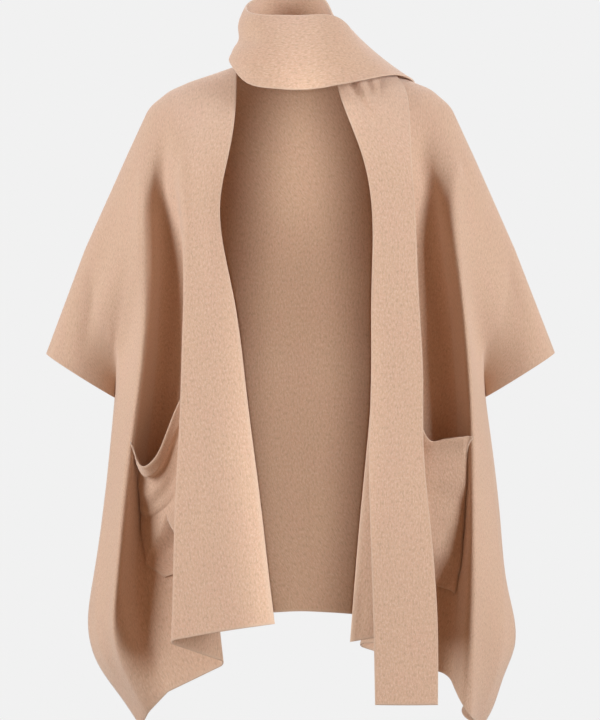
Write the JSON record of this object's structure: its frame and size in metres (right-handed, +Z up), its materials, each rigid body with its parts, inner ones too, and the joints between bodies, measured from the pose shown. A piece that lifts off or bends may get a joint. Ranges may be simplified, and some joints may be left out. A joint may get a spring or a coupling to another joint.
{
  "type": "open-front poncho with scarf",
  "caption": "Open-front poncho of felted knit, worn form kept hollow: wide back, two hanging fronts with patch pockets, and a scarf wound round the neck and over one shoulder.",
  "frame": {"origin": "the middle of the shoulder line at the base of the neck, where the wearer holds the garment up", "axes": "+X to the wearer's left, +Y to the wearer's back, +Z up"},
  "size_m": [0.7526, 0.3372, 1.1019],
  "materials": {
    "camel_knit": "matte, softly brushed felted knit"
  },
  "bodies": {
    "root": {"back_panel": "camel_knit", "front_right": "camel_knit", "front_left": "camel_knit", "pocket_right": "camel_knit", "pocket_left": "camel_knit", "scarf_front_end": "camel_knit", "scarf_back_neck": "camel_knit", "scarf_neck_wrap": "camel_knit", "scarf_back_end": "camel_knit"}
  },
  "joints": []
}
